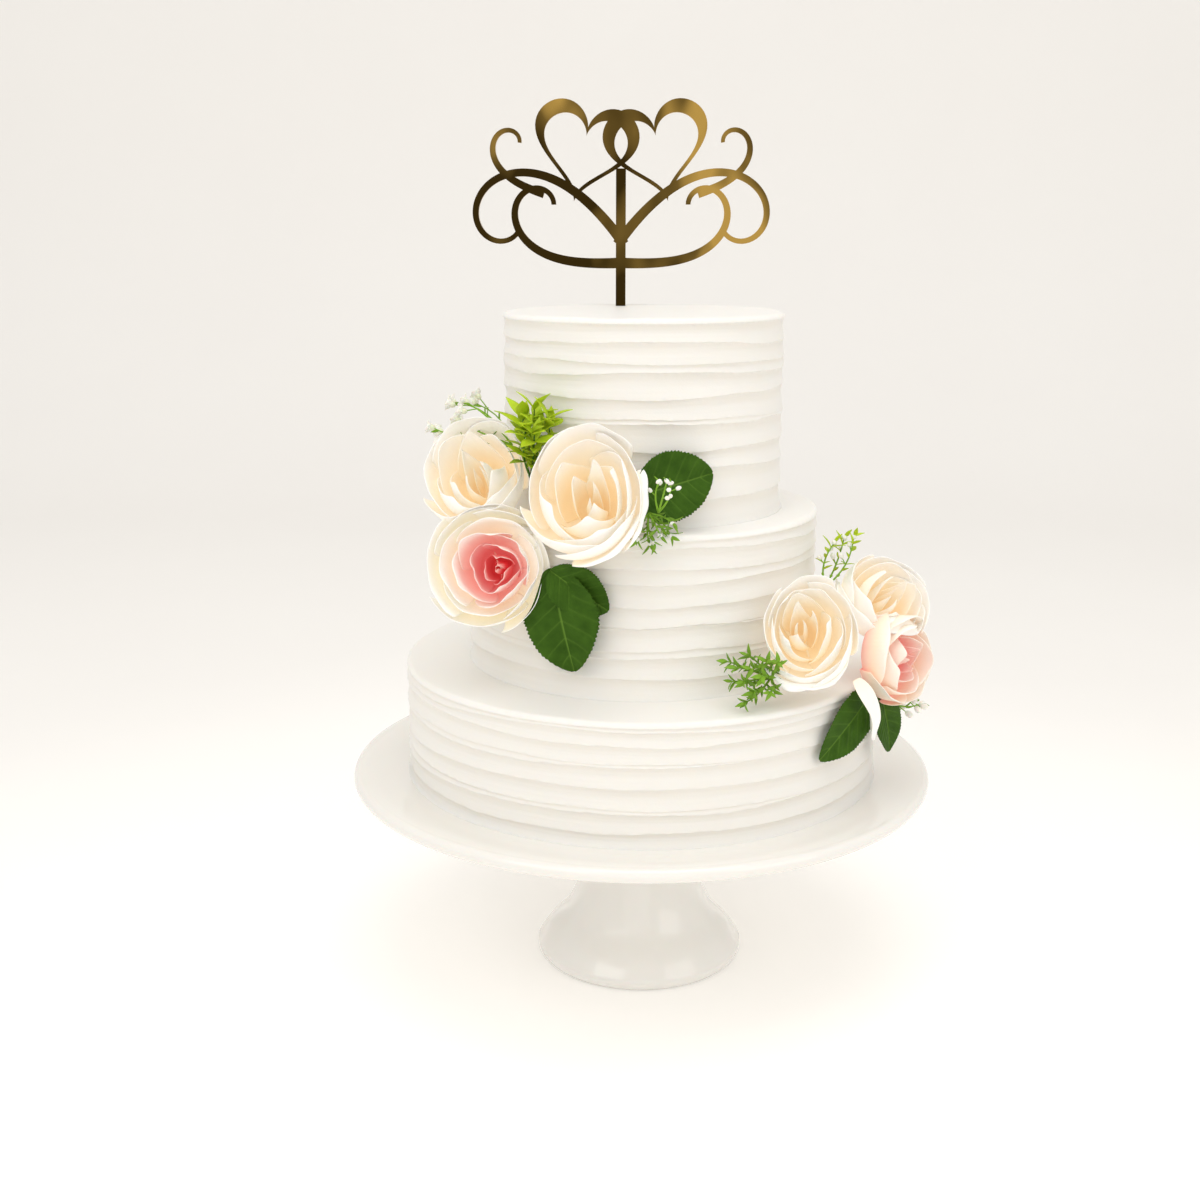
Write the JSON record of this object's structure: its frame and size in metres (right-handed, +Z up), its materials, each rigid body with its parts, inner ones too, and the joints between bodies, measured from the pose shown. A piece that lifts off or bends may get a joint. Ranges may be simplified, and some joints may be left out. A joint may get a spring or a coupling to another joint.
{
  "type": "tiered wedding cake",
  "caption": "Round tiered wedding cake in ridged ivory buttercream with sprays of cream and blush roses and a gold heart topper, on a white porcelain pedestal stand",
  "frame": {"origin": "centre of the flat base of the stand's foot, on the surface it rests on", "axes": "+Z up along the axis of the tiers, the front with both sprays in view towards -Y, +X to the right seen from the front"},
  "size_m": [0.354, 0.354, 0.5256],
  "materials": {
    "icing": "satin ivory buttercream",
    "porcelain": "white gloss glaze",
    "gold": "gold mirror acrylic sheet",
    "petals_cream": "matt cream silk petals",
    "petals_blush": "matt cream silk petals with a coral pink heart",
    "leaf_fabric": "dark green printed fabric leaf",
    "sprig_green": "satin yellow-green moulded sprig",
    "blossom_white": "satin white blossoms on green stems"
  },
  "bodies": {
    "root": {"cake_stand": "porcelain", "tier_bottom": "icing", "tier_middle": "icing", "tier_top": "icing", "topper": "gold", "rose_left_cream": "petals_cream", "rose_left_back": "petals_cream", "rose_left_blush": "petals_blush", "rose_right_cream": "petals_cream", "rose_right_back": "petals_cream", "rose_right_blush": "petals_blush", "petal_right_droop": "petals_cream", "leaf_left_upper": "leaf_fabric", "leaf_left_lower": "leaf_fabric", "leaf_left_small": "leaf_fabric", "leaf_right_front": "leaf_fabric", "leaf_right_back": "leaf_fabric", "sprig_left_blossom": "blossom_white", "sprig_left_fern": "sprig_green", "sprig_left_buds": "blossom_white", "sprig_left_tuft": "sprig_green", "sprig_right_top": "sprig_green", "sprig_right_low": "sprig_green", "sprig_right_beads": "blossom_white"}
  },
  "joints": []
}
